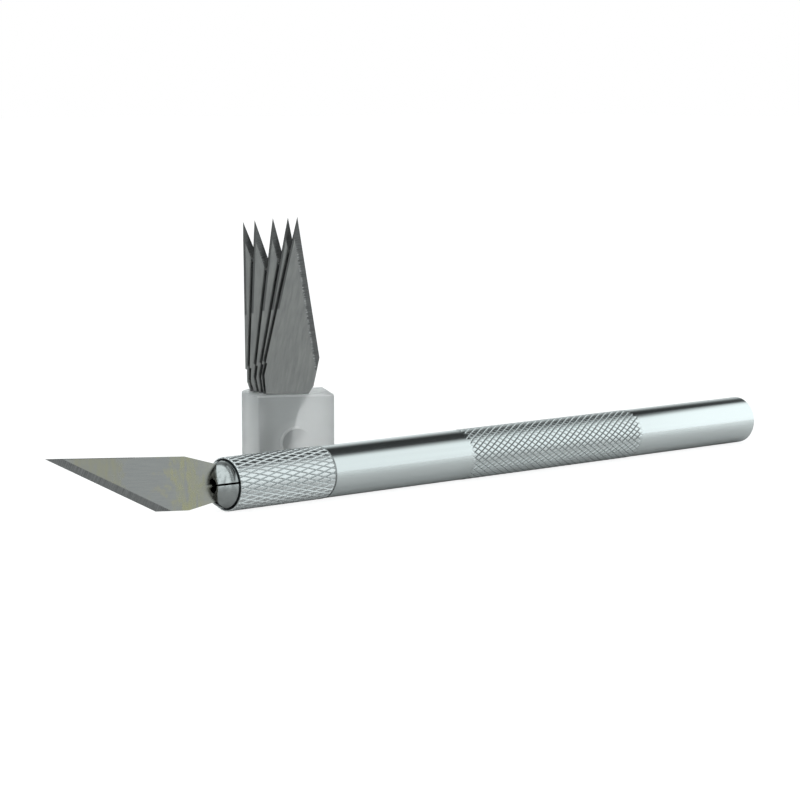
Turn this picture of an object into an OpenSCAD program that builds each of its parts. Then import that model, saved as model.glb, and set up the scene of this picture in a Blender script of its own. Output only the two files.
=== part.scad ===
// Craft knife with a four-jaw chuck, and the block that holds its spare blades.
// The knife lies along X with its nose towards -X. The origin is on its axis, where the
// knurled grip ends and the plain rear shank begins.

/* [Handle] */
// Diameter of the plain parts of the handle
handle_d = 8; // [7.4:0.1:10]
// Length of the plain part in front of the grip
fore_len = 28.4; // [20:0.1:40]
// Length of the knurled grip
grip_len = 40.5; // [25:0.5:60]
// Length of the plain shank behind the grip
shank_len = 29.2; // [15:0.1:45]
// How far knurling stands proud of the plain metal, on the grip and on the collar
knurl_rise = 0.05; // [0.02:0.01:0.15]
// Length over which the knurling fades out at each end of the grip
grip_fade = 1.2; // [0.4:0.1:3]
// Radius of the rounded rear edge
rear_edge_r = 0.5; // [0.2:0.1:1.5]
// Bevel on the front edge of the handle
handle_bevel = 0.15; // [0.05:0.05:0.4]

/* [Collar] */
// Length of the knurled collar
collar_len = 18.35; // [16.5:0.05:24]
// Gap between the collar and the handle
joint_gap = 0.05; // [0.02:0.01:0.2]
// Bevel on the outer edges of the collar
rim_bevel = 0.1; // [0.05:0.01:0.2]
// Width of the flat rim round the mouth
rim_w = 0.1; // [0.05:0.01:0.25]
// Width of the bevel inside the mouth
mouth_bevel = 0.24; // [0.1:0.01:0.4]
// Half angle of the conical seat
seat_angle = 8; // [6:0.5:12]
// Length of the narrow bore that guides the thread
guide_len = 4.1; // [3:0.1:5]

/* [Chuck] */
// Diameter of the thread, taken over its crests
thread_d = 4; // [3:0.1:4.6]
// Length of thread inside the handle when the chuck is tight
thread_grip = 7.2; // [5:0.1:12]
// Length of tapped hole left over behind the thread
thread_spare = 1.8; // [0.8:0.1:4]
// Bevel on the rear end of the thread
thread_bevel = 0.4; // [0.2:0.1:0.8]
// Running clearance round the thread
thread_gap = 0.06; // [0.03:0.01:0.1]
// Clearance between the jaws and the conical seat
seat_gap = 0.04; // [0.02:0.01:0.1]
// Length of the cone on the head
head_len = 3.9; // [2.5:0.1:4.2]
// Height of the domed nose
nose_cap = 2.4; // [1.2:0.1:3]
// Length of plain head that shows in front of the collar
nose_step = 0.46; // [0.2:0.02:1]
// Diameter of the hole in the nose
nose_hole_d = 2.3; // [1:0.1:3]
// Width of the bevel round that hole
nose_hole_bevel = 0.4; // [0.1:0.02:0.6]
// Angle between that bevel and the knife's axis
nose_bevel_angle = 75; // [45:1:80]
// Depth of that hole behind the front of the collar
nose_hole_depth = 7.3; // [4:0.1:11]
// Width of the saw cut that crosses the blade's slot
cross_slot_w = 0.3; // [0.2:0.05:0.6]
// Length of solid metal behind the slots
flange_len = 0.9; // [0.5:0.1:2]
// Room between that metal and the step in the collar
step_gap = 0.3; // [0.1:0.05:0.6]
// Gap between a jaw and the stem at the root of the jaw
root_gap = 0.05; // [0.03:0.01:0.1]
// Angle by which the chuck and its blade are turned, the blade's spine away from upright
chuck_turn = 10; // [0:1:20]

/* [Blade] */
// Whole length of a blade
blade_len = 40; // [38:0.5:44]
// Thickness of a blade
blade_t = 0.5; // [0.4:0.05:0.6]
// Width of the clamped blade across its flat
blade_w = 7.9; // [7:0.05:9]
// Length of its spine
spine_len = 24.15; // [21:0.05:25.5]
// Length along its spine that the cutting edge covers
edge_run = 18.65; // [15:0.05:21]
// Distance from its tip to the rear end of the flat
flat_end = 24.55; // [22:0.05:27]
// Width of a spare blade across its flat
spare_w = 8.5; // [7.4:0.05:9]
// Length of a spare blade's spine, up to the step at its end
spare_spine_len = 24.2; // [21:0.05:25.5]
// Depth of that step
spare_step = 0.25; // [0.05:0.05:0.6]
// Length along a spare blade's spine that the cutting edge covers
spare_edge_run = 21.6; // [18:0.05:22.5]
// Distance from a spare blade's tip to where both of its sides draw in to the tang
spare_flat_end = 26.3; // [25.6:0.05:28]
// Distance from a blade's tip to the start of the straight tang
tang_start = 31; // [29:0.1:33]
// Width of the tang
tang_w = 5; // [4.4:0.1:5.6]
// Width of the ground bevel beside the edge
grind_w = 1.05; // [0.6:0.05:1.6]
// Thickness left at the edge
edge_t = 0.04; // [0.02:0.01:0.08]
// Angle by which the clamped blade points up from the knife's axis
blade_tilt = 4.4; // [0:0.2:5]
// Distance from the front of the collar to where the tang crosses the axis
tang_cross = 3.9; // [3.3:0.05:6]
// Length of tang behind that crossing
tang_tail = 4.6; // [2:0.1:6]
// Clearance on each side of the blade in its slot
slot_gap = 0.03; // [0.02:0.01:0.08]

/* [Blade block] */
// Width of the block
block_w = 12.25; // [11.5:0.05:16]
// Depth of the block
block_d = 11.2; // [10.2:0.1:16]
// Height of the block
block_h = 13.05; // [12.9:0.05:18]
// How far the left side of the block bulges
block_bulge = 2; // [1.2:0.1:3]
// Diameter of the round boss on the front of the block
boss_d = 5.3; // [3:0.1:8]
// Height of that boss
boss_h = 0.4; // [0.2:0.05:0.8]
// Depth of the boss's centre below the top
boss_drop = 7.8; // [5:0.1:9]
// Distance from the front of the collar back to the block's front left corner
block_along = 26.6; // [20:0.1:60]
// Distance from the knife's axis across to that corner
block_off = 24.35; // [16:0.05:60]
// Angle by which the block is turned towards the knife
block_turn = 30.9; // [0:0.1:40]
// Depth of the first spare blade behind the front of the block
first_spare = 2.2; // [1.6:0.1:2.6]
// Spacing of the spare blades
spare_pitch = 1.5; // [1.3:0.05:1.8]
// Clearance round a tang in its pocket, along and across the blade
pocket_gap = 0.1; // [0.05:0.01:0.15]
// Clearance on each side of a blade in its pocket
pocket_side_gap = 0.08; // [0.05:0.01:0.12]

/* [Hidden] */
$fn = 96;
// Overrun of every cut
over = 1;
// Drill point of the tapped hole, as its half angle
drill_half_angle = 59;

// Stations along the knife
handle_front = -grip_len - fore_len;
collar_rear = handle_front - joint_gap;
collar_front = collar_rear - collar_len;
floor_z = -handle_d / 2 - knurl_rise;

// Radii of the handle, the collar and the chuck, from the outside in
handle_r = handle_d / 2;
collar_r = handle_r + knurl_rise;
mouth_r = collar_r - rim_bevel - rim_w;
seat_r = mouth_r - mouth_bevel;
head_r = seat_r - seat_gap;
// Metal of each jaw outside the tang, and the room that the tang has in the bore
jaw_cover = 0.1;
tang_room = 0.5;
neck_r = tang_w / 2 + jaw_cover;
bore_r = tang_w / 2 + tang_room;
thread_r = thread_d / 2;
guide_r = thread_r + thread_gap;

// Stations in the chuck, counted from the front of the collar
seat_end = mouth_bevel + (seat_r - bore_r) / tan(seat_angle);
step_at = collar_len - guide_len;
root_at = step_at - step_gap - flange_len;
cone_end = mouth_bevel + head_len;
cone_end_r = head_r - head_len * tan(seat_angle);
nose_r = (head_r * head_r + nose_cap * nose_cap) / (2 * nose_cap);
nose_reach = nose_step + nose_cap;
nose_hole_r = nose_hole_d / 2;
nose_rim_r = nose_hole_r + nose_hole_bevel;
nose_rim_at = nose_r - nose_reach - sqrt(nose_r * nose_r - nose_rim_r * nose_rim_r);
thread_end = collar_len + joint_gap + thread_grip;
drill_tip = guide_r / tan(drill_half_angle);
tapped_depth = thread_grip + thread_spare;
slot_w = blade_t + 2 * slot_gap;

// Lean of each spare blade, front one first, and the place of its foot in the block:
// along the block's width, and down from its top
spare_lean = [12.7, 10.5, 6.85, 2.3, -0.6];
foot_along_shares = [0.167, 0.186, 0.212, 0.246, 0.275];
foot_down_shares = [0.855, 0.878, 0.898, 0.921, 0.934];

// Turns a profile of [radius, x] points round the knife's axis
module turned() {
  rotate([0, 90, 0]) rotate_extrude() children();
}

// A plain bore along the axis from x = a to x = b
module bore(r, a, b) {
  translate([a, 0, 0]) rotate([0, 90, 0]) cylinder(r = r, h = b - a);
}

// Half section of the handle, its rear corner rounded by an arc
module handle_section() {
  difference() {
    polygon([
      [0, handle_front],
      [handle_r - handle_bevel, handle_front],
      [handle_r, handle_front + handle_bevel],
      [handle_r, -grip_len],
      [collar_r, grip_fade - grip_len],
      [collar_r, -grip_fade],
      [handle_r, 0],
      [handle_r, shank_len],
      [0, shank_len]
    ]);
    difference() {
      translate([handle_r - rear_edge_r, shank_len - rear_edge_r])
        square([rear_edge_r + over, rear_edge_r + over]);
      translate([handle_r - rear_edge_r, shank_len - rear_edge_r])
        circle(r = rear_edge_r);
    }
  }
}

// Aluminium handle with a tapped hole in its front end
module handle() {
  color("silver") difference() {
    turned() handle_section();
    bore(guide_r, handle_front - over, handle_front + tapped_depth);
    translate([handle_front + tapped_depth, 0, 0])
      rotate([0, 90, 0]) cylinder(r1 = guide_r, r2 = 0, h = drill_tip);
  }
}

// Knurled collar: it turns against the handle and closes the jaws with its conical seat
module collar() {
  color("gainsboro") translate([collar_front, 0, 0]) turned() polygon([
    [mouth_r, 0],
    [collar_r - rim_bevel, 0],
    [collar_r, rim_bevel],
    [collar_r, collar_len - rim_bevel],
    [collar_r - rim_bevel, collar_len],
    [guide_r, collar_len],
    [guide_r, step_at],
    [bore_r, step_at],
    [bore_r, seat_end],
    [seat_r, mouth_bevel]
  ]);
}

// Rear end of the chuck: the flange that the jaws spring from, and the thread
module chuck_stem() {
  color("darkgray") translate([collar_front, 0, 0]) turned() polygon([
    [0, root_at + root_gap],
    [neck_r, root_at + root_gap],
    [neck_r, root_at + flange_len],
    [thread_r, root_at + flange_len],
    [thread_r, thread_end - thread_bevel],
    [thread_r - thread_bevel, thread_end],
    [0, thread_end]
  ]);
}

// Front end of the chuck before it is slotted: domed nose with a bevelled hole, cone and neck
module chuck_head() {
  turned() difference() {
    intersection() {
      polygon([
        [0, -nose_reach],
        [head_r, -nose_reach],
        [head_r, mouth_bevel],
        [cone_end_r, cone_end],
        [neck_r, cone_end + cone_end_r - neck_r],
        [neck_r, root_at],
        [0, root_at]
      ]);
      translate([0, nose_r - nose_reach]) union() {
        circle(r = nose_r);
        square([head_r + over, root_at + nose_reach]);
      }
    }
    polygon([
      [0, -nose_reach - over],
      [nose_rim_r, -nose_reach - over],
      [nose_rim_r, nose_rim_at],
      [nose_hole_r, nose_rim_at + nose_hole_bevel / tan(nose_bevel_angle)],
      [nose_hole_r, nose_hole_depth],
      [0, nose_hole_depth]
    ]);
  }
}

// One of the four jaws. side_y and side_z say on which side of the two slots it lies
module chuck_jaw(side_y, side_z) {
  reach = head_r + over;
  color("lightgray") translate([collar_front, 0, 0]) rotate([-chuck_turn, 0, 0]) intersection() {
    chuck_head();
    scale([1, side_y, side_z])
      translate([-nose_reach - over, slot_w / 2, cross_slot_w / 2])
        cube([nose_reach + root_at + 2 * over, reach, reach]);
  }
}

module chuck_jaw_1() { chuck_jaw(1, 1); }
module chuck_jaw_2() { chuck_jaw(-1, 1); }
module chuck_jaw_3() { chuck_jaw(-1, -1); }
module chuck_jaw_4() { chuck_jaw(1, -1); }

grind_angle = atan((blade_t - edge_t) / 2 / grind_w);

// Blade in its own frame: the tip at the origin, the spine along +X, the edge below it.
// It is given by its width, by how far from the tip the spine, the edge and the flat end, and
// by the depth of the step at the end of the spine
module blade_plate(width, spine_end, edge_end, rear_end, step) {
  tang_top = (width - tang_w) / 2;
  tang_low = (width + tang_w) / 2;
  stepped_in = step > 0 ? [[spine_end, -step], [rear_end, -step]] : [];
  difference() {
    rotate([90, 0, 0]) translate([0, 0, -blade_t / 2]) linear_extrude(blade_t) polygon(concat(
      [[0, 0], [spine_end, 0]],
      stepped_in,
      [
        [tang_start, -tang_top],
        [blade_len, -tang_top],
        [blade_len, -tang_low],
        [tang_start, -tang_low],
        [rear_end, -width],
        [edge_end, -width]
      ]
    ));
    for (side = [0, 1]) mirror([0, side, 0])
      rotate([0, atan(width / edge_end), 0]) translate([-width, edge_t / 2, 0]) rotate([-grind_angle, 0, 0])
        translate([0, 0, -width]) cube([blade_len, blade_t, 2 * width]);
  }
}

// The clamped blade: its tang crosses the knife's axis inside the jaws
module blade() {
  color("slategray") translate([collar_front + tang_cross, 0, 0]) rotate([-chuck_turn, 0, 0])
    rotate([0, blade_tilt, 0]) translate([tang_tail - blade_len, 0, blade_w / 2])
      blade_plate(blade_w, spine_len, edge_run, flat_end, 0);
}

// Puts a shape at the front left corner of the block's base, X along its front
module at_block() {
  translate([collar_front + block_along, block_off, floor_z]) rotate([0, 0, -block_turn]) children();
}

// Puts a shape that is drawn like a blade, foot at the origin and tip up, at place i
module at_spare(i) {
  at_block() translate([
    foot_along_shares[i] * block_w,
    first_spare + i * spare_pitch,
    (1 - foot_down_shares[i]) * block_h
  ]) rotate([0, spare_lean[i], 0]) children();
}

// A spare blade stood on its foot with its edge to the right
module standing_blade() {
  rotate([0, 90, 180]) translate([-blade_len, 0, spare_w / 2])
    blade_plate(spare_w, spare_spine_len, spare_edge_run, spare_flat_end, spare_step);
}

// Pocket for a tang, open upwards past the full width of the blade
module pocket() {
  half = blade_t / 2 + pocket_side_gap;
  rotate([90, 0, 0]) translate([0, 0, -half]) linear_extrude(2 * half) polygon([
    [-tang_w / 2 - pocket_gap, -pocket_gap],
    [tang_w / 2 + pocket_gap, -pocket_gap],
    [tang_w / 2 + pocket_gap, blade_len - tang_start],
    [spare_w / 2 + pocket_gap, blade_len - spare_flat_end],
    [spare_w / 2 + pocket_gap, blade_len],
    [-spare_w / 2 - pocket_gap, blade_len],
    [-spare_w / 2 - pocket_gap, blade_len - spare_flat_end],
    [-tang_w / 2 - pocket_gap, blade_len - tang_start]
  ]);
}

// Plan of the block: square but for its left side, which bulges in a shallow arc
module block_plan() {
  bulge_r = (block_d * block_d / 4 + block_bulge * block_bulge) / (2 * block_bulge);
  square([block_w, block_d]);
  intersection() {
    translate([bulge_r - block_bulge, block_d / 2]) circle(r = bulge_r);
    translate([-block_bulge - over, 0]) square([block_bulge + 2 * over, block_d]);
  }
}

// Frosted plastic block with a pocket for each spare blade
module blade_block() {
  color("lightcyan") difference() {
    at_block() union() {
      linear_extrude(block_h) block_plan();
      translate([block_w / 2, 0, block_h - boss_drop]) rotate([90, 0, 0]) cylinder(d = boss_d, h = boss_h);
    }
    for (i = [0 : len(spare_lean) - 1]) at_spare(i) pocket();
  }
}

module spare_blade(i) {
  color("slategray") at_spare(i) standing_blade();
}

module spare_blade_1() { spare_blade(0); }
module spare_blade_2() { spare_blade(1); }
module spare_blade_3() { spare_blade(2); }
module spare_blade_4() { spare_blade(3); }
module spare_blade_5() { spare_blade(4); }

handle();
collar();
chuck_stem();
chuck_jaw_1();
chuck_jaw_2();
chuck_jaw_3();
chuck_jaw_4();
blade();
blade_block();
spare_blade_1();
spare_blade_2();
spare_blade_3();
spare_blade_4();
spare_blade_5();
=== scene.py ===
# A slim round craft knife with a clamped pointed blade, and a frosted block of spare blades.
import math

import bpy
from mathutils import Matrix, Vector


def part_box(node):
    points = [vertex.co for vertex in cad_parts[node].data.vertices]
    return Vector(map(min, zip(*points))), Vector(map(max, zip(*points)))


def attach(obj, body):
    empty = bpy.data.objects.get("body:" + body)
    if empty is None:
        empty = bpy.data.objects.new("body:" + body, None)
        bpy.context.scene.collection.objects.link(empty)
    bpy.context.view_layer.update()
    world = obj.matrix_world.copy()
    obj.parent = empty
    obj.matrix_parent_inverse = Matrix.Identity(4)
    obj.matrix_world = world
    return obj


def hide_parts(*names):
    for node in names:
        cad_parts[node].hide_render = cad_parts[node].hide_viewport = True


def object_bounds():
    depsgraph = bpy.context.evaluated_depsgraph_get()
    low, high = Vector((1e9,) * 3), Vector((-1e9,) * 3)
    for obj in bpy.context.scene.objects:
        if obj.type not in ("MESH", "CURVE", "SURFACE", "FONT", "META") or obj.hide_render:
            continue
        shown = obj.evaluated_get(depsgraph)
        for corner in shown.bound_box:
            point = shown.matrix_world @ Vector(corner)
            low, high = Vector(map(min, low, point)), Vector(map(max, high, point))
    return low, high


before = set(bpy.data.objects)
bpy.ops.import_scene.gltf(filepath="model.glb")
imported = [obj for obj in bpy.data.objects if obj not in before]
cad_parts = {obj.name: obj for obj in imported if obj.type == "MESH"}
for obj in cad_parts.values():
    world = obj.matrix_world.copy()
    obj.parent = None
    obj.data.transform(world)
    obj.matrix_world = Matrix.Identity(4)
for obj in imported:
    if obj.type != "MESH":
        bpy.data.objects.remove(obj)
cad_low, cad_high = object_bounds()
mm = 0.001

# The camera stands in front of the blade's end, looks along the knife to its rear and a
# little down, with a long lens.
camera_place = Vector((-324.65, -299.06, 56.92)) * mm
camera_heading = math.radians(47.663)
camera_dip = math.radians(6.64)
bpy.ops.object.camera_add(location=camera_place)
camera = bpy.context.object
aim = Vector((
    math.cos(camera_heading) * math.cos(camera_dip),
    math.sin(camera_heading) * math.cos(camera_dip),
    -math.sin(camera_dip),
))
camera.rotation_euler = aim.to_track_quat("-Z", "Y").to_euler()
camera.data.sensor_width = 36
camera.data.lens = 117
bpy.context.scene.camera = camera


# Handle: one rod of drawn aluminium, with a plain fore part, a band of diamond knurling to
# hold it by and a plain shank. Its rear edge is rounded, and its front end is drilled and
# tapped for the chuck.
class Wire:
    """One output in a node tree. Arithmetic on it adds Math nodes to that tree."""

    def __init__(self, nodes, socket):
        self.nodes = nodes
        self.socket = socket

    def math(self, operation, *others):
        """A Math node's result on this output and others, which may also be plain numbers."""
        values = dict(enumerate((self, *others)))
        return self.nodes.node("ShaderNodeMath", {"operation": operation}, values)

    def __add__(self, other):
        return self.math("ADD", other)

    def __sub__(self, other):
        return self.math("SUBTRACT", other)

    def __mul__(self, other):
        return self.math("MULTIPLY", other)

    def __truediv__(self, other):
        return self.math("DIVIDE", other)

    def __rsub__(self, other):
        return (self * -1) + other

    __radd__ = __add__
    __rmul__ = __mul__

    def step(self, low, high, smooth=True):
        """0 below low and 1 above high, or the other way round where low is the larger."""
        kind = "SMOOTHSTEP" if smooth else "LINEAR"
        values = {"Value": self, "From Min": low, "From Max": high}
        return self.nodes.node("ShaderNodeMapRange", {"interpolation_type": kind}, values)

    def between(self, low, high):
        """This output, which runs from 0 to 1, made to run from low to high."""
        return self * (high - low) + low


class Nodes:
    """A node tree, and one method that adds any node to it."""

    def __init__(self, tree):
        self.tree = tree

    def plug(self, socket, value):
        """Links an output to a socket, or sets the socket to a number or a colour."""
        if isinstance(value, Wire):
            self.tree.links.new(value.socket, socket)
        elif socket.type == "RGBA":
            socket.default_value = (*value, 1)
        else:
            socket.default_value = value

    def node(self, kind, settings=None, values=None, out=0):
        """Adds a node, with its settings first and then its sockets, and gives one output."""
        made = self.tree.nodes.new(kind)
        for name, value in (settings or {}).items():
            setattr(made, name, value)
        for name, value in (values or {}).items():
            self.plug(made.inputs[name], value)
        return Wire(self, made.outputs[out])

    def parted(self, vector):
        """The X, Y and Z of a vector output."""
        return [self.node("ShaderNodeSeparateXYZ", values={0: vector}, out=axis) for axis in "XYZ"]

    def blend(self, share, first, second):
        """A colour that goes from first to second with share. Node sockets 6 and 7 are colours."""
        values = {0: share, 6: first, 7: second}
        return self.node("ShaderNodeMix", {"data_type": "RGBA"}, values, out=2)


class Finish(Nodes):
    """A material, whose shader's sockets are set by surface()."""

    def __init__(self, name):
        self.material = bpy.data.materials.new(name)
        self.material.use_nodes = True
        super().__init__(self.material.node_tree)
        self.shader = self.tree.nodes["Principled BSDF"]

    def axes(self, start=(0, 0, 0)):
        """The X, Y and Z of a point on the piece, as three outputs in millimetres from start."""
        place = self.node("ShaderNodeTexCoord", out="Object")
        return [axis / mm - begin / mm for axis, begin in zip(self.parted(place), start)]

    def point(self, x, y, z):
        """The point in a pattern that three outputs or numbers name."""
        return self.node("ShaderNodeCombineXYZ", values={"X": x, "Y": y, "Z": z})

    def noise(self, point, scale, detail=3, roughness=0.5):
        """A cloudy pattern from 0 to 1, finer the larger its scale."""
        values = {"Vector": point, "Scale": scale, "Detail": detail, "Roughness": roughness}
        return self.node("ShaderNodeTexNoise", {"noise_dimensions": "3D"}, values)

    def bump(self, height, depth, strength):
        """Small relief, depth metres deep where its height goes from 0 to 1."""
        values = {"Height": height, "Distance": depth, "Strength": strength}
        return self.node("ShaderNodeBump", values=values)

    def surface(self, **sockets):
        """Sets the shader's sockets, and gives the finished material."""
        for name, value in sockets.items():
            self.plug(self.shader.inputs[name.replace("_", " ")], value)
        return self.material


def reach(point, direction):
    """How far a point, given as its X, Y and Z outputs, lies along a direction."""
    return sum(axis * part for axis, part in zip(point, direction))


def diagonal(one, other):
    """The long side over two sides that meet at a right angle."""
    return (one * one + other * other).math("SQRT")


# draw_out finds a rim by its x, to within a hair, so rings that are meant to be level still
# lie a few hairs apart. Points nearer to each other than weld_gap become one.
hair = 0.001 * mm
weld_gap = 0.0005 * mm


def clear_selection():
    """Leaves edit mode and deselects everything, with vertices as what edit mode selects."""
    if bpy.context.object and bpy.context.object.mode != "OBJECT":
        bpy.ops.object.mode_set(mode="OBJECT")
    bpy.ops.object.select_all(action="DESELECT")
    bpy.context.tool_settings.mesh_select_mode = (True, False, False)


def pick(piece):
    """Selects one piece alone, and makes it the active one."""
    clear_selection()
    piece.select_set(True)
    bpy.context.view_layer.objects.active = piece


def edit_where(piece, wanted):
    """Goes into edit mode with only the vertices selected whose place is wanted."""
    pick(piece)
    for part in (piece.data.polygons, piece.data.edges, piece.data.vertices):
        part.foreach_set("select", [False] * len(part))
    for vertex in piece.data.vertices:
        vertex.select = wanted(vertex.co)
    bpy.ops.object.mode_set(mode="EDIT")


def turned(x, radius, turn):
    """A point at an angle round the knife's axis: 0 faces the front, a quarter turn is up."""
    return Vector((x, -radius * math.cos(turn), radius * math.sin(turn)))


def turn_of(place):
    """The angle round the knife's axis at which a point lies."""
    return math.atan2(place.z, -place.y)


def draw_out(piece, rim_x, rings):
    """Extrudes the open rim at rim_x into one ring after another, each given as x and radius."""
    for x, radius in rings:
        edit_where(piece, lambda place: abs(place.x - rim_x) < hair)
        bpy.ops.mesh.extrude_region()
        bpy.ops.object.mode_set(mode="OBJECT")
        for vertex in piece.data.vertices:
            if vertex.select:
                vertex.co = turned(x, radius, turn_of(vertex.co))
        rim_x = x


def close_rim(piece, rim_x, tip_x):
    """Draws the open rim at rim_x together to one point on the axis."""
    draw_out(piece, rim_x, [(tip_x, 10 * hair)])
    edit_where(piece, lambda place: abs(place.x - tip_x) < hair)
    bpy.ops.mesh.merge(type="CENTER")
    bpy.ops.object.mode_set(mode="OBJECT")


# The radius of the tube that a knurled band is cut from
blank_r = 4.05 * mm


def knurled_band(name, start, end, grooves, pitch, centre_x, centre_turn, cuts, radius_at):
    """
    A tube whose faces are the diamonds between two families of crossed grooves. One diamond's
    centre is at centre_x and centre_turn. cuts is how finely each diamond is divided, and
    radius_at gives the radius from a point's x and its distance to the nearest groove.
    """
    first = centre_x - pitch * math.ceil((centre_x - start) / pitch + 0.5)
    rows = math.ceil((end - first) / pitch) + 1
    clear_selection()
    bpy.ops.mesh.primitive_grid_add(x_subdivisions=rows, y_subdivisions=grooves, size=1)
    piece = bpy.context.object
    piece.name = name
    width = 2 * math.pi * blank_r / grooves
    first_turn = centre_turn - math.pi / grooves
    for vertex in piece.data.vertices:
        turn = first_turn + (vertex.co.y + 0.5) * 2 * math.pi
        vertex.co = turned(first + (vertex.co.x + 0.5) * rows * pitch, blank_r, turn)
    bpy.ops.object.mode_set(mode="EDIT")
    bpy.ops.mesh.select_all(action="SELECT")
    bpy.ops.mesh.remove_doubles(threshold=10 * hair)
    bpy.ops.mesh.poke()
    bpy.ops.object.mode_set(mode="OBJECT")
    for vertex in piece.data.vertices:
        vertex.co = turned(vertex.co.x, blank_r, turn_of(vertex.co))
    # The grid's own edges lie along and across the tube, where each crosses a diamond. They
    # span a whole pitch or none, and the edges that poke has made span half of one.
    bpy.context.tool_settings.mesh_select_mode = (False, True, False)
    places = [vertex.co for vertex in piece.data.vertices]
    for part in (piece.data.polygons, piece.data.vertices):
        part.foreach_set("select", [False] * len(part))
    for edge in piece.data.edges:
        one, other = (places[index] for index in edge.vertices)
        span = abs(one.x - other.x) / pitch
        edge.select = abs(span - 0.5) > 0.4
    bpy.ops.object.mode_set(mode="EDIT")
    bpy.ops.mesh.dissolve_edges(use_verts=False)
    bpy.context.tool_settings.mesh_select_mode = (True, False, False)
    bpy.ops.mesh.select_all(action="SELECT")
    bpy.ops.mesh.inset(thickness=width / 4, use_individual=True, use_even_offset=True)
    bpy.ops.mesh.select_all(action="SELECT")
    bpy.ops.mesh.subdivide(number_cuts=cuts)
    for x, sides in ((start, {"clear_inner": True}), (end, {"clear_outer": True})):
        bpy.ops.mesh.select_all(action="SELECT")
        bpy.ops.mesh.bisect(plane_co=(x, 0, 0), plane_no=(1, 0, 0), threshold=weld_gap, **sides)
    bpy.ops.object.mode_set(mode="OBJECT")
    # Along the tube and round it a diamond is one unit long, and a groove runs where the sum
    # or the difference of these two counts is whole
    grooves_per_length = math.hypot(1 / pitch, 1 / width)
    for vertex in piece.data.vertices:
        turn = turn_of(vertex.co)
        along = (vertex.co.x - first) / pitch
        around = (turn - first_turn) * grooves / (2 * math.pi)
        share = min(abs(count - round(count)) for count in (along + around, along - around))
        radius = radius_at(vertex.co.x, share / grooves_per_length)
        vertex.co = turned(vertex.co.x, radius, turn)
    return piece


def dress(piece, material):
    """Makes this the piece's only material."""
    piece.data.materials.clear()
    piece.data.materials.append(material)


def finish_piece(piece, material, body, node, sharp=math.radians(30)):
    """Shades a new piece, gives it its material and lets it ride in place of its CAD node."""
    pick(piece)
    bpy.ops.object.shade_smooth_by_angle(angle=sharp)
    dress(piece, material)
    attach(piece, body)
    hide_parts(node)


handle_low, handle_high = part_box("handle")
handle_front, handle_rear = handle_low.x, handle_high.x
handle_r = 4 * mm
crest_r = handle_high.z
grip_front = -40.5 * mm
grip_fade = 1.3 * mm
grip_groove_half = 0.13 * mm
grip_groove_depth = 0.11 * mm
rear_edge_r = 0.5 * mm
rear_edge_steps = 6
tapped_r = 2.06 * mm
tapped_depth = 9 * mm
tapped_tip = 1.24 * mm
edge_bevel = 0.15 * mm
groove_shade = (0.2, 0.21, 0.21)


def grip_radius(x, from_groove):
    """Full knurling in the middle of the grip, which fades out at both of its ends."""
    share = min(1, max(0, min(x - grip_front, -x) / grip_fade))
    fade = share * share * (3 - 2 * share)
    cut = max(0, 1 - from_groove / grip_groove_half)
    return handle_r + fade * (crest_r - handle_r - grip_groove_depth * cut)


handle = knurled_band(
    "handle_body", grip_front, 0, grooves=27, pitch=1.522 * mm,
    centre_x=-87.55 * mm, centre_turn=-0.0274, cuts=1, radius_at=grip_radius,
)
draw_out(handle, grip_front, [
    (handle_front + edge_bevel, handle_r),
    (handle_front, handle_r - edge_bevel),
    (handle_front + 10 * hair, tapped_r),
    (handle_front + tapped_depth, tapped_r),
])
close_rim(handle, handle_front + tapped_depth, handle_front + tapped_depth + tapped_tip)
rear_rings = [(handle_rear - rear_edge_r, handle_r)]
for step in range(1, rear_edge_steps + 1):
    angle = math.pi / 2 * step / rear_edge_steps
    rear_rings.append((
        handle_rear - rear_edge_r * (1 - math.sin(angle)),
        handle_r - rear_edge_r * (1 - math.cos(angle)),
    ))
draw_out(handle, 0, rear_rings)
close_rim(handle, handle_rear, handle_rear - 5 * hair)

aluminium = Finish("drawn_aluminium")
x, y, z = aluminium.axes()
streaks = aluminium.noise(aluminium.point(x * 0.02, y * 3, z * 3), 1, detail=4, roughness=0.6)
cloud = aluminium.noise(aluminium.point(x * 0.06, y * 0.3, z * 0.3), 1, detail=2)
off_axis = diagonal(y, z)
in_grip = x.step(grip_front / mm, grip_front / mm + 1.2) * x.step(0, -1.2)
# Painted shade: the grooves of the knurl are darkened, and the front edge where the handle meets
# the collar more so.
grooves = off_axis.step(crest_r / mm - 0.01, crest_r / mm - 0.07) * in_grip
seam_shade = (x - handle_front / mm).step(0.26, 0.18)
drawn_metal = aluminium.blend(streaks, (0.80, 0.84, 0.845), (0.86, 0.90, 0.905))
handle_metal = aluminium.surface(
    Base_Color=aluminium.blend(grooves * 0.5 + seam_shade * 0.9, drawn_metal, groove_shade),
    Metallic=1.0,
    Roughness=(streaks + cloud).between(0.1, 0.17) + in_grip * 0.08,
    Normal=aluminium.bump(streaks, 0.004 * mm, 0.35),
)
finish_piece(handle, handle_metal, "handle", "handle")


# Collar: a turned aluminium sleeve with coarser, longer diamonds over its whole length. Its
# mouth is coned to close the chuck, and its rear bore runs on the chuck's thread.
collar_low, collar_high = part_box("collar")
collar_front, collar_rear = collar_low.x, collar_high.x
collar_r = collar_high.z
rim_bevel = 0.1 * mm
mouth_r = 3.85 * mm
seat_r = 3.61 * mm
# Measured back from the collar's front: where the seat ends in the bore, and where the bore
# narrows to run on the thread. bore_gap is left open there, for a bridge to close.
seat_end = 4.58 * mm
bore_r = 3 * mm
step_at = 14.25 * mm
bore_gap = 0.1 * mm
collar_groove_half = 0.12 * mm
collar_groove_depth = 0.12 * mm
# Painted shade for the inside of the collar
bore_shade = (0.09, 0.095, 0.10)


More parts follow.
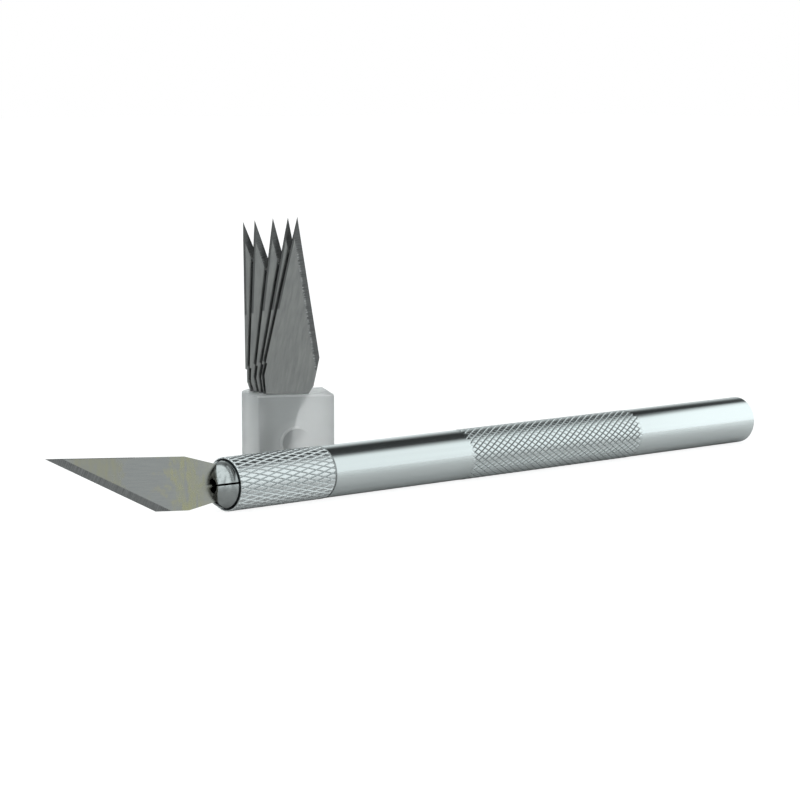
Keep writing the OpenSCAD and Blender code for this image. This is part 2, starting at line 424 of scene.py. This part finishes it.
def collar_radius(x, from_groove):
    """Full knurling over the whole sleeve."""
    return collar_r - collar_groove_depth * max(0, 1 - from_groove / collar_groove_half)


collar = knurled_band(
    "collar_sleeve", collar_front + rim_bevel, collar_rear - rim_bevel, grooves=30,
    pitch=3.096 * mm, centre_x=-88.25 * mm, centre_turn=-0.0187, cuts=3, radius_at=collar_radius,
)
draw_out(collar, collar_rear - rim_bevel, [
    (collar_rear, collar_r - rim_bevel),
    (collar_rear - 5 * hair, tapped_r + edge_bevel),
    (collar_rear - edge_bevel, tapped_r),
    (collar_front + step_at, tapped_r),
    (collar_front + step_at + 5 * hair, bore_r),
])
draw_out(collar, collar_front + rim_bevel, [
    (collar_front, collar_r - rim_bevel),
    (collar_front - 2 * hair, mouth_r),
    (collar_front + mouth_r - seat_r, seat_r),
    (collar_front + seat_end, bore_r),
    (collar_front + step_at - bore_gap, bore_r),
])


def beside_bore_gap(place):
    """Whether a point is on one of the two open rims of the bore, which the bridge joins."""
    from_step = abs(place.x - collar_front - step_at)
    return abs(math.hypot(place.y, place.z) - bore_r) < hair and from_step < 1.5 * bore_gap


edit_where(collar, beside_bore_gap)
bpy.ops.mesh.bridge_edge_loops()
bpy.ops.mesh.select_all(action="SELECT")
bpy.ops.mesh.normals_make_consistent(inside=False)
bpy.ops.object.mode_set(mode="OBJECT")

collar_finish = Finish("knurled_aluminium")
x, y, z = collar_finish.axes()
wear = collar_finish.noise(collar_finish.point(x, y, z), 1.6, detail=4, roughness=0.6)
off_axis = diagonal(y, z)
# Painted shade: the inside of the collar's mouth and bore is darkened nearly to black, and the
# grooves of the knurl a little.
inside = off_axis.step(mouth_r / mm + 0.05, mouth_r / mm + 0.01)
grooves = off_axis.step(collar_r / mm - 0.01, collar_r / mm - 0.08)
turned_metal = collar_finish.blend(wear, (0.84, 0.87, 0.88), (0.92, 0.95, 0.955))
knurled_metal = collar_finish.blend(grooves * 0.3, turned_metal, groove_shade)
collar_metal = collar_finish.surface(
    Base_Color=collar_finish.blend(inside, knurled_metal, bore_shade),
    Metallic=1.0,
    Roughness=wear.between(0.2, 0.34) + inside * 0.25,
    Normal=collar_finish.bump(wear, 0.01 * mm, 0.4),
)
finish_piece(collar, collar_metal, "collar", "collar")


# Chuck: turned, sawn crosswise into four fingers and plated, with a painted dark reflection of
# the blade along the blade's slot. The domed nose shows in front of the collar, the coned head
# sits in the collar's mouth, and the stem screws into the handle.
head_r = 3.57 * mm
# The nose is a cap cut from a ball, nose_cap high, whose foot stands in front of the collar
nose_foot = 0.46 * mm
nose_cap = 2.4 * mm
nose_reach = nose_foot + nose_cap
nose_r = (head_r ** 2 + nose_cap ** 2) / (2 * nose_cap)
# Places along the chuck are measured back from the collar's front
cone_start = 0.24 * mm
cone_end = 4.14 * mm
cone_end_r = 3.022 * mm
neck_r = 2.6 * mm
root_at = 13.05 * mm
nose_hole_r = 1.15 * mm
nose_hole_bevel = 0.4 * mm
nose_bevel_angle = math.radians(75)
nose_hole_depth = 7.3 * mm
blade_slot = 0.56 * mm
cross_slot = 0.3 * mm
finger_edge = 0.05 * mm
dome_steps = 20
dome_facets = 160
# Painted reflection: the dark grey of the blade mirrored in the dome
reflection_dark = (0.10, 0.10, 0.09)


def dome_x(radius):
    """Where the dome reaches a radius, as x from the collar's front."""
    return nose_r - nose_reach - math.sqrt(nose_r ** 2 - radius ** 2)


def chuck_profile():
    """The chuck's outline as x from the collar's front, and radius, from its hole outwards."""
    mouth = nose_hole_r + nose_hole_bevel
    bevel_depth = nose_hole_bevel / math.tan(nose_bevel_angle)
    rings = [(nose_hole_depth, nose_hole_r), (dome_x(mouth) + bevel_depth, nose_hole_r)]
    for step in range(dome_steps + 1):
        radius = mouth + (head_r - mouth) * step / dome_steps
        rings.append((dome_x(radius), radius))
    rings.append((cone_start, head_r))
    rings.append((cone_end, cone_end_r))
    rings.append((cone_end + cone_end_r - neck_r, neck_r))
    rings.append((root_at, neck_r))
    return rings


def turned_solid(name, rings):
    """Revolves an outline round the axis, and draws both of its ends in to close it."""
    clear_selection()
    (first_x, radius), last_x = rings[0], rings[-1][0]
    bpy.ops.mesh.primitive_circle_add(
        vertices=dome_facets, radius=radius, location=(first_x, 0, 0),
        rotation=(0, math.pi / 2, 0),
    )
    piece = bpy.context.object
    piece.name = name
    bpy.ops.object.transform_apply(location=True, rotation=True)
    draw_out(piece, first_x, rings[1:])
    close_rim(piece, last_x, last_x - 2 * hair)
    close_rim(piece, first_x, first_x + 2 * hair)
    return piece


def copy_of(piece, name):
    """A new piece with its own copy of another's mesh."""
    copied = bpy.data.objects.new(name, piece.data.copy())
    bpy.context.collection.objects.link(copied)
    return copied


def soften(piece, width, angle, segments):
    """Rounds the edges of a piece that are sharper than an angle."""
    pick(piece)
    rounding = piece.modifiers.new("edges", "BEVEL")
    rounding.width = width
    rounding.segments = segments
    rounding.limit_method = "ANGLE"
    rounding.angle_limit = angle
    bpy.ops.object.modifier_apply(modifier="edges")


chuck_turn = math.radians(10)
slot_across = Vector((0, math.cos(chuck_turn), -math.sin(chuck_turn)))
slot_up = Vector((0, math.sin(chuck_turn), math.cos(chuck_turn)))
jaw_finish = Finish("plated_chuck")
x, y, z = jaw_finish.axes()
off_axis = diagonal(y, z)
rings_cut = jaw_finish.noise(jaw_finish.point(off_axis, 0, x * 0.4), 5, detail=3, roughness=0.65)
dirt = jaw_finish.noise(jaw_finish.point(x, y, z), 1.2, detail=4)
# Painted reflection: the plating darkens in a band along the blade's slot, which stands in for the
# blade's dark face mirrored in the dome.
from_slot = reach((x, y, z), slot_across).math("ABSOLUTE")
up_slot = reach((x, y, z), slot_up)
painted_blade_reflection = (from_slot + up_slot * up_slot * 0.15).step(1.5, 1.35)
plating = jaw_finish.blend(dirt.step(0.45, 0.75), (0.48, 0.50, 0.50), (0.39, 0.41, 0.41))
jaw_metal = jaw_finish.surface(
    Base_Color=jaw_finish.blend(painted_blade_reflection * 0.85, plating, reflection_dark),
    Metallic=1.0,
    Roughness=(rings_cut * dirt).between(0.12, 0.3),
    Normal=jaw_finish.bump(rings_cut, 0.012 * mm, 0.6),
)
rings = [(collar_front + from_front, radius) for from_front, radius in chuck_profile()]
whole_chuck = turned_solid("whole_chuck", rings)
# Each finger is what lies on one side of the blade's slot and on one side of the cross slot
for number, (side, level) in enumerate(((1, 1), (-1, 1), (-1, -1), (1, -1)), start=1):
    jaw = copy_of(whole_chuck, f"jaw_finger_{number}")
    for plane, gap in ((slot_across * side, blade_slot), (slot_up * level, cross_slot)):
        edit_where(jaw, lambda place: True)
        bpy.ops.mesh.bisect(
            plane_co=plane * gap / 2, plane_no=plane, clear_inner=True, use_fill=True,
            threshold=weld_gap,
        )
    bpy.ops.mesh.select_all(action="SELECT")
    bpy.ops.mesh.remove_doubles(threshold=weld_gap)
    bpy.ops.mesh.normals_make_consistent(inside=False)
    bpy.ops.object.mode_set(mode="OBJECT")
    soften(jaw, finger_edge, angle=math.radians(35), segments=2)
    finish_piece(jaw, jaw_metal, f"jaw_{number}", f"chuck_jaw_{number}")
bpy.data.objects.remove(whole_chuck)

dress(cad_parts["chuck_stem"], jaw_metal)


# Blade: steel strip, hardened, its edge ground from both sides. It is clamped by its tang,
# tip up. Handling has left olive and yellow stains on its grey faces.
blade_w = 7.9 * mm
edge_run = 18.65 * mm
# The blade's middle line crosses the knife's axis behind the collar's front, at blade_cross_at
# from there and at blade_reach from the tip
blade_tilt = math.radians(4.4)
blade_cross_at = 3.9 * mm
blade_reach = 35.4 * mm


def grey(level):
    """A colour without a hue."""
    return (level, level, level)


def blade_steel(name, tip, back, down, edge_angle, seed, stain, shine):
    """
    Steel for one blade, from its tip and the directions back along its spine and down across
    it. edge_angle lies between spine and edge, seed shifts the patterns, stain is 1 for the
    stained blade and 0 for a clean one, and shine scales the brightness of its faces.
    """
    steel = Finish(name)
    from_tip = steel.axes(tip)
    along = reach(from_tip, back)
    across = reach(from_tip, down)
    beside = reach(steel.axes(), back.cross(down))
    from_edge = along * math.sin(edge_angle) - across * math.cos(edge_angle)
    on_slope = along * 0.93 + across * 0.37

    # Four patterns: rolled grain, the grinding wheel's strokes, ragged edges for the stains,
    # and smears
    grain_at = steel.point(along * 0.25, across * (1.6 + 3.4 * stain), seed)
    grain = steel.noise(grain_at, 1, detail=3, roughness=0.7)
    strokes_at = steel.point(on_slope * (15 - 7 * stain), seed, beside)
    strokes = steel.noise(strokes_at, 1, detail=4, roughness=0.7)
    ragged_at = steel.point(along * 0.45, across * 0.5, seed + 7)
    ragged = steel.noise(ragged_at, 1, detail=4, roughness=0.6)
    smears_at = steel.point(along * 1.1, across * 0.3, seed + 3)
    smears = steel.noise(smears_at, 1, detail=4, roughness=0.65)

    # Faces: grey, with an olive stain behind the tip, a yellow streak and patches further back,
    # and cleaner metal near the chuck
    ragged_along = along + (ragged - 0.5) * 10
    olive = ragged_along.step(2, 6) * ragged_along.step(14, 11)
    streak_end = (ragged_along - across * 0.2).step(28, 24)
    streak = ragged_along.step(20, 24) * streak_end * smears.step(0.3, 0.65)
    patch = ragged.step(0.52, 0.6) * along.step(16, 20)
    bare_end = along.step(25, 30)
    dark = (0.265 + 0.025 * stain) * shine
    pale = (0.355 - 0.025 * stain) * shine
    face = steel.blend(grain.step(0.3, 0.7, smooth=False), grey(dark), (pale, pale, pale * 0.97))
    face = steel.blend(olive * smears.step(0.1, 0.8) * stain, face, (0.355, 0.34, 0.255))
    face = steel.blend(patch * 0.7 * stain, face, (0.36, 0.345, 0.28))
    face = steel.blend(streak * stain, face, (0.40, 0.385, 0.25))
    face = steel.blend(bare_end * 0.6 * stain, face, (0.42, 0.41, 0.36))

    # Edge: a bevel ground a millimetre wide, darker than the faces, with painted highlights where
    # a clean blade's edge is nicked
    ground = from_edge.step(1.08, 1.0)
    ground_dark = grey(0.10 + 0.05 * stain)
    ground_pale = grey(0.22 + 0.11 * stain)
    bevel = steel.blend(strokes.step(0.3, 0.7), ground_dark, ground_pale)
    nick_highlights = strokes.step(0.5, 0.57) * from_edge.step(0.7, 0.9) * along.step(4, 7)
    bevel = steel.blend(nick_highlights * (1 - stain), bevel, grey(0.55))

    # Back: a dark line along the narrower fore part, which ends 15 mm behind the tip
    fore_back = (across + 0.22 * stain).step(0.34, 0.26) * along.step(15.3, 15.15)

    polished = along.step(28.4, 29.4) * 0.7 * stain
    dull = (olive + streak) * 0.1 * stain + grain.between(0.16, 0.26) * (1 - polished)
    return steel.surface(
        Base_Color=steel.blend(
            fore_back, steel.blend(ground, face, bevel), grey(0.15 - 0.05 * stain)
        ),
        Specular_Tint=(0.2, 0.2, 0.2),
        Metallic=1.0,
        Roughness=steel.blend(ground, dull, strokes.between(0.3, 0.42)),
        Normal=steel.bump(steel.blend(ground, grain, strokes), 0.005 * mm, 0.35),
    )


blade_back = Vector((math.cos(blade_tilt), 0, 0)) - slot_up * math.sin(blade_tilt)
blade_down = Vector((-math.sin(blade_tilt), 0, 0)) - slot_up * math.cos(blade_tilt)
blade_cross = Vector((collar_front + blade_cross_at, 0, 0))
blade_tip = blade_cross - blade_back * blade_reach - blade_down * blade_w / 2
dress(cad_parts["blade"], blade_steel(
    "clamped_steel", blade_tip, blade_back, blade_down, math.atan(blade_w / edge_run),
    seed=2.0, stain=1, shine=1.03,
))


# Block: a small block moulded from frosted clear plastic, with a bulging left side and a pocket
# for each blade. Round the boss on its front, painted highlights whiten the plastic on the left.
block_w = 12.25 * mm
block_h = 13.05 * mm
# Its front left corner lies behind the collar's front and off the knife's axis
block_behind = 26.6 * mm
block_off = 24.35 * mm
block_turn = math.radians(30.9)
block_edge = 0.22 * mm
boss_drop = 7.8 * mm
shadow_grey = (0.2, 0.21, 0.21)
block = copy_of(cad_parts["blade_block"], "frosted_block")
edit_where(block, lambda place: True)
bpy.ops.mesh.remove_doubles(threshold=weld_gap)
bpy.ops.mesh.dissolve_limited(angle_limit=math.radians(2))
bpy.ops.object.mode_set(mode="OBJECT")
soften(block, block_edge, angle=math.radians(40), segments=3)

block_corner = Vector((collar_front + block_behind, block_off, cad_low.z))
block_along = Vector((math.cos(block_turn), -math.sin(block_turn), 0))
block_into = Vector((math.sin(block_turn), math.cos(block_turn), 0))
boss_place = block_corner + block_along * block_w / 2 + Vector((0, 0, block_h - boss_drop))

frost = Finish("frosted_plastic")
x, y, z = frost.axes()
around_boss = frost.axes(boss_place)
right = reach(around_boss, block_along)
into = reach(around_boss, block_into)
above = around_boss[2]
from_boss = diagonal(right, above)
upper_left = above * 0.5 - right
# Painted highlights: a ring and a glow round the boss, and the top's front edge. Painted shade:
# the hollow that shows through the boss, the front's left end and a band on the bulging side.
face = into.step(0.3, 0.1)
outer_side = upper_left.step(0.3, 2.2) * face
ring = from_boss.step(2.35, 2.5) * from_boss.step(2.85, 2.7) * outer_side
boss_glow = from_boss.step(2.6, 2.9) * from_boss.step(4.3, 3.2) * outer_side
lip_highlight = above.step(7.5, 7.65) * into.step(0.45, 0.3)
hollow = from_boss.step(2.5, 2.3) * from_boss.step(-1, 1.2) * upper_left.step(-1.2, 1)
left_end_shade = right.step(-2.6, -5.2) * face
bulge_band_shade = right.step(-5.6, -5.9) * into.step(2.5, 4) * into.step(9, 7)
mist = frost.noise(frost.point(x, y, z), 0.5, detail=3)
pits = frost.noise(frost.point(x, y, z), 14, detail=2)
resin_and_shade = frost.blend(mist, (0.72, 0.735, 0.735), (0.77, 0.78, 0.78))
# Painted shade: the plastic's own tone darkened towards shadow_grey in the hollow, the left end
# and the side band
shadow = hollow * 0.45 + left_end_shade * 0.25 + bulge_band_shade * 0.25
resin_and_shade = frost.blend(shadow, resin_and_shade, shadow_grey)
plastic = frost.surface(
    Base_Color=frost.blend(ring.math("MAXIMUM", lip_highlight) + boss_glow * 0.3, resin_and_shade, (1, 1, 1)),
    Roughness=mist.between(0.82, 0.92),
    IOR=1.49,
    Transmission_Weight=0.74,
    Coat_Weight=0.4,
    Coat_Roughness=0.2,
    Normal=frost.bump(pits, 0.01 * mm, 0.3),
)
finish_piece(block, plastic, "block", "blade_block", sharp=math.radians(40))


# Spare blades: five more of the same blades, stood in the block on their tangs, tips up.
# They lean apart, each by its own slot.
blade_len = 40 * mm
spare_w = 8.5 * mm
spare_edge_run = 21.6 * mm
first_spare = 2.2 * mm
spare_pitch = 1.5 * mm
# Each spare blade's lean in degrees, and its foot's place as shares of the block's width and
# of its height, from its left and from its top
spares = (
    (12.7, 0.167, 0.855),
    (10.5, 0.186, 0.878),
    (6.85, 0.212, 0.898),
    (2.3, 0.246, 0.921),
    (-0.6, 0.275, 0.934),
)
upwards = Vector((0, 0, 1))
for number, (degrees, foot_along, foot_down) in enumerate(spares, start=1):
    lean = math.radians(degrees)
    rise = block_along * math.sin(lean) + upwards * math.cos(lean)
    spare_across = block_along * math.cos(lean) - upwards * math.sin(lean)
    foot = block_corner + block_along * block_w * foot_along
    foot += block_into * (first_spare + spare_pitch * (number - 1))
    foot += upwards * block_h * (1 - foot_down)
    tip = foot + rise * blade_len - spare_across * spare_w / 2
    dress(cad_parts[f"spare_blade_{number}"], blade_steel(
        f"spare_steel_{number}", tip, -rise, spare_across, math.atan(spare_w / spare_edge_run),
        seed=11.0 * number, stain=0, shine=1.05,
    ))


# Studio: a pale, faintly glossy floor and two white walls that lean towards each other
# overhead, with a window on the left. Polished metal shows the window and the dark wedge
# between the walls, and the camera sees plain white.
def seen_by_camera(nodes):
    """1 for a camera's ray, also where clear plastic has let it through, and 0 for others."""
    straight = nodes.node("ShaderNodeLightPath", out="Is Camera Ray")
    return straight.math("MAXIMUM", nodes.node("ShaderNodeLightPath", out="Is Transmission Ray"))


clear_selection()
bpy.ops.mesh.primitive_grid_add(
    x_subdivisions=4, y_subdivisions=4, size=12, location=(0, 0, cad_low.z)
)
floor = bpy.context.object
floor.name = "studio_floor"
bpy.ops.object.transform_apply(location=True)
# The camera sees the paper's own white glow, and as little of its shading as leaves the
# object's soft shadow
shadow_share = 0.3
paper_glow = 0.88
paper = Finish("floor_paper")
seen = seen_by_camera(paper)
dress(floor, paper.surface(
    Base_Color=paper.blend(seen, (0.70, 0.68, 0.675), grey(shadow_share)),
    Roughness=0.9,
    Specular_IOR_Level=0,
    Coat_Weight=1 - seen,
    Coat_Roughness=0.2,
    Emission_Color=paper.blend(seen, (0, 0, 0), (1, 1, 1)),
    Emission_Strength=paper_glow,
))

# Directions across the walls' edges, across the window and across the bar of its frame
front_wall_away = (-0.639, 0.435, 0.635)
back_wall_towards = (-0.53, 0.776, -0.344)
window_side = (0.958, -0.287, 0)
frame_side = (0.469, -0.883, 0)
wall_light = 0.87
wedge_light = 0.035
curtain_light = 0.28
corner_light = 0.28
world = bpy.data.worlds.new("studio_walls")
bpy.context.scene.world = world
world.use_nodes = True
walls = Nodes(world.node_tree)
walls.tree.nodes.clear()
ray = walls.parted(walls.node("ShaderNodeTexCoord", out="Generated"))
front_wall_end = ray[1].step(0.3, 0.12).math("MAXIMUM", ray[0].step(0.8, 0.9))
front_wall = reach(ray, front_wall_away).step(0.03, -0.15) * front_wall_end
front_corner = front_wall * ray[0].step(0.62, 0.8)
back_wall = reach(ray, back_wall_towards).step(-0.28, 0.2) * ray[0].step(0.1, 0.5).between(0.3, 1)
across_window = reach(ray, window_side)
across_frame = reach(ray, frame_side).math("ABSOLUTE")
window_frame = across_frame.step(0.1, 0.02) * ray[2].step(0.9, 0.4)
pane = across_window.step(-0.21, -0.27) * window_frame.between(1.5, 0.55)
slit = across_window.step(-0.17, -0.13) * across_window.step(-0.03, -0.07) * ray[1].step(0.3, 0.1)
curtain = across_window.step(0.02, 0.08) * across_window.step(0.4, 0.3) * curtain_light
window = pane + slit + curtain
wall = front_wall.math("MAXIMUM", back_wall).math("MAXIMUM", window)
glow = wall.between(wedge_light, wall_light) + front_corner * corner_light
seen = seen_by_camera(walls)
light = walls.node("ShaderNodeBackground", values={
    "Color": walls.blend(seen, (0.93, 1, 1), (1, 1, 1)),
    "Strength": seen * (1 - glow) + glow,
})
output = walls.tree.nodes.new("ShaderNodeOutputWorld")
walls.plug(output.inputs["Surface"], light)

bpy.context.scene.view_settings.view_transform = "Standard"
